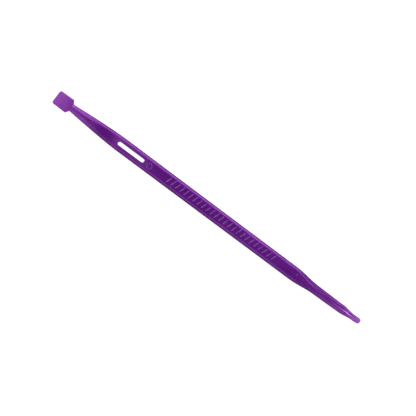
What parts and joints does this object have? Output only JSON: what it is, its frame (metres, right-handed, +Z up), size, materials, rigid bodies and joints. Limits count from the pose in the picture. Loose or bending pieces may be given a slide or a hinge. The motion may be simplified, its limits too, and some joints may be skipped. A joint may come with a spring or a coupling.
{
  "type": "sewing point tool",
  "caption": "Slim moulded plastic sewing tool with a thin square head, a long eye for ribbon or elastic, a flat ribbed bar and a narrow upturned tip that ends in a rounded tongue.",
  "frame": {"origin": "on the surface that the bar rests on, under the middle of the tool's length and width", "axes": "+X along the tool from the square head to the tip, +Z up out of the face with the raised ribs, +Y across the tool"},
  "size_m": [0.154, 0.0066, 0.005],
  "materials": {
    "purple_plastic": "glossy moulded purple, slightly translucent, lighter where it is thin"
  },
  "bodies": {
    "root": {"square_head": "purple_plastic", "neck": "purple_plastic", "eye_frame": "purple_plastic", "bar": "purple_plastic", "tip_shank": "purple_plastic", "tip_tongue": "purple_plastic"}
  },
  "joints": []
}
